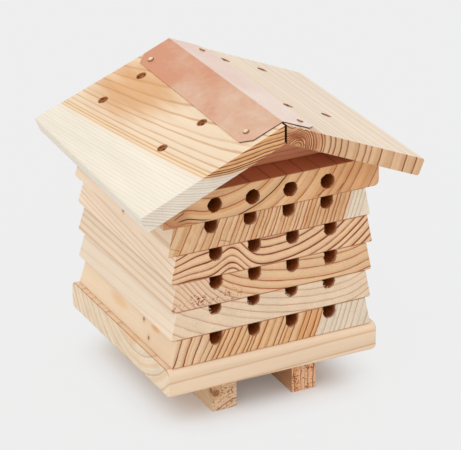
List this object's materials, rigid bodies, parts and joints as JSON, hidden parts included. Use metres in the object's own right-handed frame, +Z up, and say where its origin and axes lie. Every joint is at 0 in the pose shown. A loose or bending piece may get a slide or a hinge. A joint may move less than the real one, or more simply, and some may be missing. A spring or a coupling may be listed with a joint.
{
  "type": "solitary bee house",
  "caption": "Solitary bee house: grooved wooden nesting trays stacked on a base with bearers under a drilled block and a pitched roof with a copper ridge cap; the layers lift off.",
  "frame": {"origin": "on the ground, under the middle of the roof's outline", "axes": "+Z up, -Y towards the front with the nest holes, +X to the right of someone facing it"},
  "size_m": [0.2028, 0.1764, 0.2099],
  "materials": {
    "base_pine": "planed and left bare",
    "bearer_pine": "sawn and left bare",
    "tray_pine": "planed and left bare",
    "gable_pine": "planed and left bare",
    "roof_pine": "planed and left bare",
    "peg_wood": "turned and left bare",
    "copper": "satin copper sheet",
    "pin_brass": "polished",
    "screw_steel": "yellow passivated"
  },
  "bodies": {
    "base": {"base_board": "base_pine", "bearer_left": "bearer_pine", "bearer_right": "bearer_pine", "bearer_screws": "screw_steel", "base_pegs": "peg_wood"},
    "tray_1": {"tray_1": "tray_pine", "tray_1_pegs": "peg_wood"},
    "tray_2": {"tray_2": "tray_pine", "tray_2_pegs": "peg_wood"},
    "tray_3": {"tray_3": "tray_pine", "tray_3_pegs": "peg_wood"},
    "tray_4": {"tray_4": "tray_pine", "tray_4_pegs": "peg_wood"},
    "tray_5": {"tray_5": "tray_pine", "tray_5_pegs": "peg_wood"},
    "roof": {"top_block": "tray_pine", "gable_support_front": "gable_pine", "gable_support_back": "gable_pine", "gable_screws": "screw_steel", "roof_board_left": "roof_pine", "roof_board_right": "roof_pine", "roof_screws_left": "screw_steel", "roof_screws_right": "screw_steel", "ridge_cap": "copper", "ridge_cap_pins": "pin_brass"}
  },
  "joints": [
    {"name": "tray_1_lift", "type": "slide", "parent": "base", "child": "tray_1", "axis": [0, 0, 1], "range_m": [0, 0.05]},
    {"name": "tray_2_lift", "type": "slide", "parent": "tray_1", "child": "tray_2", "axis": [0, 0, 1], "range_m": [0, 0.05]},
    {"name": "tray_3_lift", "type": "slide", "parent": "tray_2", "child": "tray_3", "axis": [0, 0, 1], "range_m": [0, 0.05]},
    {"name": "tray_4_lift", "type": "slide", "parent": "tray_3", "child": "tray_4", "axis": [0, 0, 1], "range_m": [0, 0.05]},
    {"name": "tray_5_lift", "type": "slide", "parent": "tray_4", "child": "tray_5", "axis": [0, 0, 1], "range_m": [0, 0.05]},
    {"name": "roof_lift", "type": "slide", "parent": "tray_5", "child": "roof", "axis": [0, 0, 1], "range_m": [0, 0.05]}
  ]
}
